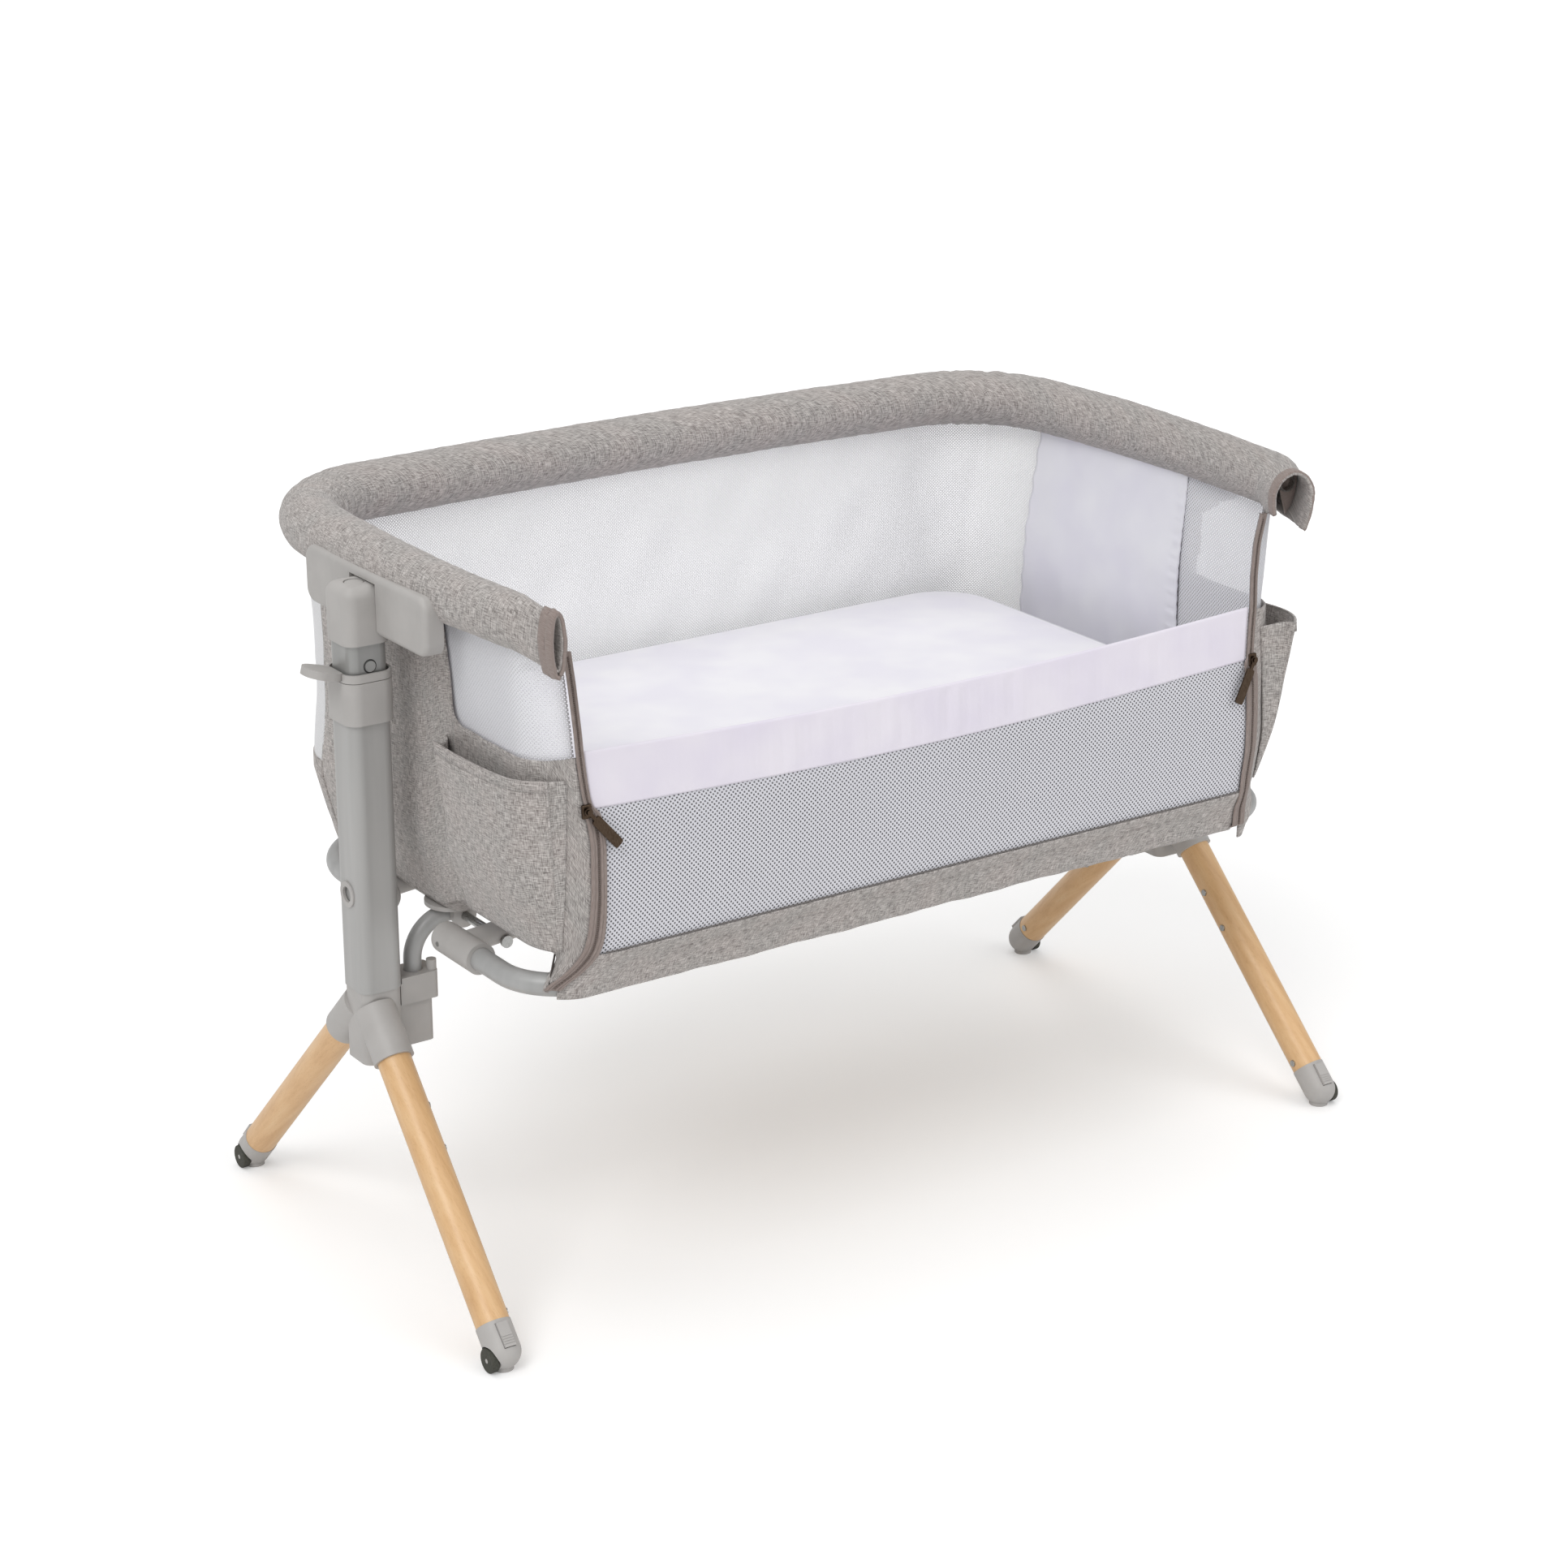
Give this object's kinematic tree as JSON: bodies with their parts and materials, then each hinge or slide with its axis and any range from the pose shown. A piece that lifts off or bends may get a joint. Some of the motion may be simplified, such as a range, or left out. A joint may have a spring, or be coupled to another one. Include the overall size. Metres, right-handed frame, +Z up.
{
  "type": "bedside sleeper crib",
  "caption": "Cloth-sided bedside crib with an open let-down front, hung between two folding height-adjustable stands with splayed beech legs.",
  "frame": {"origin": "on the floor below the middle of the crib's outline", "axes": "+X along the crib to its right end, +Y to the closed back, +Z up; the let-down side faces -Y"},
  "size_m": [0.9966, 0.5259, 0.6547],
  "materials": {
    "rail_steel": "satin",
    "melange": "woven",
    "white_mesh": "mesh",
    "white_satin": "satin",
    "taupe_trim": "woven tape",
    "mattress_cover": "quilted",
    "dark_steel": "satin",
    "board": "raw",
    "grey_plastic": "fine texture",
    "post_paint": "satin",
    "bare_aluminium": "anodised",
    "fastener_steel": "satin",
    "dark_plastic": "satin",
    "wheel_rubber": "matte",
    "beech": "clear lacquer",
    "bronze_zip": "dark bronze"
  },
  "bodies": {
    "basket": {"top_rail_tube": "rail_steel", "rail_sleeve": "melange", "back_mesh": "white_mesh", "back_lower_panel": "melange", "end_panels": "melange", "end_mesh_windows": "white_mesh", "front_mesh": "white_mesh", "front_top_band": "white_satin", "front_lower_band": "melange", "end_linings": "white_satin", "zip_tapes_and_bindings": "taupe_trim", "side_pockets": "melange", "base_tubes": "dark_steel", "base_elbows": "grey_plastic", "mattress_board": "board", "floor_panel": "white_satin", "mattress": "mattress_cover", "pivot_brackets": "grey_plastic", "fold_axles_and_screws": "fastener_steel", "wing_brackets": "grey_plastic"},
    "left_carrier": {"left_inner_post": "bare_aluminium", "left_head_cap": "grey_plastic", "left_brace_tube": "post_paint"},
    "left_stand": {"left_outer_post": "post_paint", "left_post_grommet": "dark_plastic", "left_height_collar": "grey_plastic", "left_leg_hub": "grey_plastic", "left_brace_guide": "grey_plastic", "left_wood_legs": "beech", "left_foot_boots": "grey_plastic", "left_leg_screws": "fastener_steel"},
    "left_height_lever": {"left_height_lever": "grey_plastic"},
    "left_head_button": {"left_head_button": "grey_plastic"},
    "left_snap_button": {"left_snap_button": "fastener_steel"},
    "left_front_wheel": {"left_front_wheel": "wheel_rubber"},
    "left_back_wheel": {"left_back_wheel": "wheel_rubber"},
    "left_front_brake_tab": {"left_front_brake_tab": "dark_plastic"},
    "left_back_brake_tab": {"left_back_brake_tab": "dark_plastic"},
    "left_zip_slider": {"left_zip_slider": "bronze_zip"},
    "left_zip_pull": {"left_zip_pull": "bronze_zip"},
    "right_carrier": {"right_inner_post": "bare_aluminium", "right_head_cap": "grey_plastic", "right_brace_tube": "post_paint"},
    "right_stand": {"right_outer_post": "post_paint", "right_post_grommet": "dark_plastic", "right_height_collar": "grey_plastic", "right_leg_hub": "grey_plastic", "right_brace_guide": "grey_plastic", "right_wood_legs": "beech", "right_foot_boots": "grey_plastic", "right_leg_screws": "fastener_steel"},
    "right_height_lever": {"right_height_lever": "grey_plastic"},
    "right_head_button": {"right_head_button": "grey_plastic"},
    "right_snap_button": {"right_snap_button": "fastener_steel"},
    "right_front_wheel": {"right_front_wheel": "wheel_rubber"},
    "right_back_wheel": {"right_back_wheel": "wheel_rubber"},
    "right_front_brake_tab": {"right_front_brake_tab": "dark_plastic"},
    "right_back_brake_tab": {"right_back_brake_tab": "dark_plastic"},
    "right_zip_slider": {"right_zip_slider": "bronze_zip"},
    "right_zip_pull": {"right_zip_pull": "bronze_zip"}
  },
  "joints": [
    {"name": "left_stand_fold", "type": "hinge", "parent": "basket", "child": "left_carrier", "pos_m": [-0.362, -0.0135, 0.313], "axis": [0, -1, 0], "range_deg": [0, 90]},
    {"name": "left_height", "type": "slide", "parent": "left_carrier", "child": "left_stand", "axis": [0, 0, -1], "range_m": [0, 0.04]},
    {"name": "left_lever_lift", "type": "hinge", "parent": "left_stand", "child": "left_height_lever", "pos_m": [-0.424, -0.0135, 0.5481], "axis": [0, 1, 0], "range_deg": [0, 10], "stiffness_Nm_per_rad": 0.4, "springref_deg": -5.73},
    {"name": "left_head_button_press", "type": "slide", "parent": "left_carrier", "child": "left_head_button", "axis": [0, 0, -1], "range_m": [0, 0.003], "stiffness_N_per_m": 400, "springref_m": -0.001},
    {"name": "left_snap_button_press", "type": "slide", "parent": "left_carrier", "child": "left_snap_button", "axis": [0, 1, 0], "range_m": [0, 0.003], "stiffness_N_per_m": 400, "springref_m": -0.001},
    {"name": "left_front_wheel_spin", "type": "hinge", "parent": "left_stand", "child": "left_front_wheel", "pos_m": [-0.47177, -0.24735, 0.011], "axis": [1, 0, 0], "continuous": true},
    {"name": "left_front_brake_tab_press", "type": "hinge", "parent": "left_stand", "child": "left_front_brake_tab", "pos_m": [-0.45879, -0.24429, 0.04], "axis": [-1, 0, 0], "range_deg": [0, 12]},
    {"name": "left_back_wheel_spin", "type": "hinge", "parent": "left_stand", "child": "left_back_wheel", "pos_m": [-0.47177, 0.22035, 0.011], "axis": [1, 0, 0], "continuous": true},
    {"name": "left_back_brake_tab_press", "type": "hinge", "parent": "left_stand", "child": "left_back_brake_tab", "pos_m": [-0.45879, 0.21729, 0.04], "axis": [1, 0, 0], "range_deg": [0, 12]},
    {"name": "left_zip_slide", "type": "slide", "parent": "basket", "child": "left_zip_slider", "axis": [0, -0.0797, -0.9968], "range_m": [0, 0.09]},
    {"name": "left_zip_pull_swing", "type": "hinge", "parent": "left_zip_slider", "child": "left_zip_pull", "pos_m": [-0.358, -0.23518, 0.47046], "axis": [0, 0.9968, -0.0797], "range_deg": [-50, 130]},
    {"name": "right_stand_fold", "type": "hinge", "parent": "basket", "child": "right_carrier", "pos_m": [0.362, -0.0135, 0.313], "axis": [0, 1, 0], "range_deg": [0, 90]},
    {"name": "right_height", "type": "slide", "parent": "right_carrier", "child": "right_stand", "axis": [0, 0, -1], "range_m": [0, 0.04]},
    {"name": "right_lever_lift", "type": "hinge", "parent": "right_stand", "child": "right_height_lever", "pos_m": [0.424, -0.0135, 0.5481], "axis": [0, -1, 0], "range_deg": [0, 10], "stiffness_Nm_per_rad": 0.4, "springref_deg": -5.73},
    {"name": "right_head_button_press", "type": "slide", "parent": "right_carrier", "child": "right_head_button", "axis": [0, 0, -1], "range_m": [0, 0.003], "stiffness_N_per_m": 400, "springref_m": -0.001},
    {"name": "right_snap_button_press", "type": "slide", "parent": "right_carrier", "child": "right_snap_button", "axis": [0, 1, 0], "range_m": [0, 0.003], "stiffness_N_per_m": 400, "springref_m": -0.001},
    {"name": "right_front_wheel_spin", "type": "hinge", "parent": "right_stand", "child": "right_front_wheel", "pos_m": [0.47177, -0.24735, 0.011], "axis": [1, 0, 0], "continuous": true},
    {"name": "right_front_brake_tab_press", "type": "hinge", "parent": "right_stand", "child": "right_front_brake_tab", "pos_m": [0.45879, -0.24429, 0.04], "axis": [-1, 0, 0], "range_deg": [0, 12]},
    {"name": "right_back_wheel_spin", "type": "hinge", "parent": "right_stand", "child": "right_back_wheel", "pos_m": [0.47177, 0.22035, 0.011], "axis": [1, 0, 0], "continuous": true},
    {"name": "right_back_brake_tab_press", "type": "hinge", "parent": "right_stand", "child": "right_back_brake_tab", "pos_m": [0.45879, 0.21729, 0.04], "axis": [1, 0, 0], "range_deg": [0, 12]},
    {"name": "right_zip_slide", "type": "slide", "parent": "basket", "child": "right_zip_slider", "axis": [0, -0.0797, -0.9968], "range_m": [0, 0.09]},
    {"name": "right_zip_pull_swing", "type": "hinge", "parent": "right_zip_slider", "child": "right_zip_pull", "pos_m": [0.358, -0.23518, 0.47046], "axis": [0, 0.9968, -0.0797], "range_deg": [-118, 62]}
  ]
}
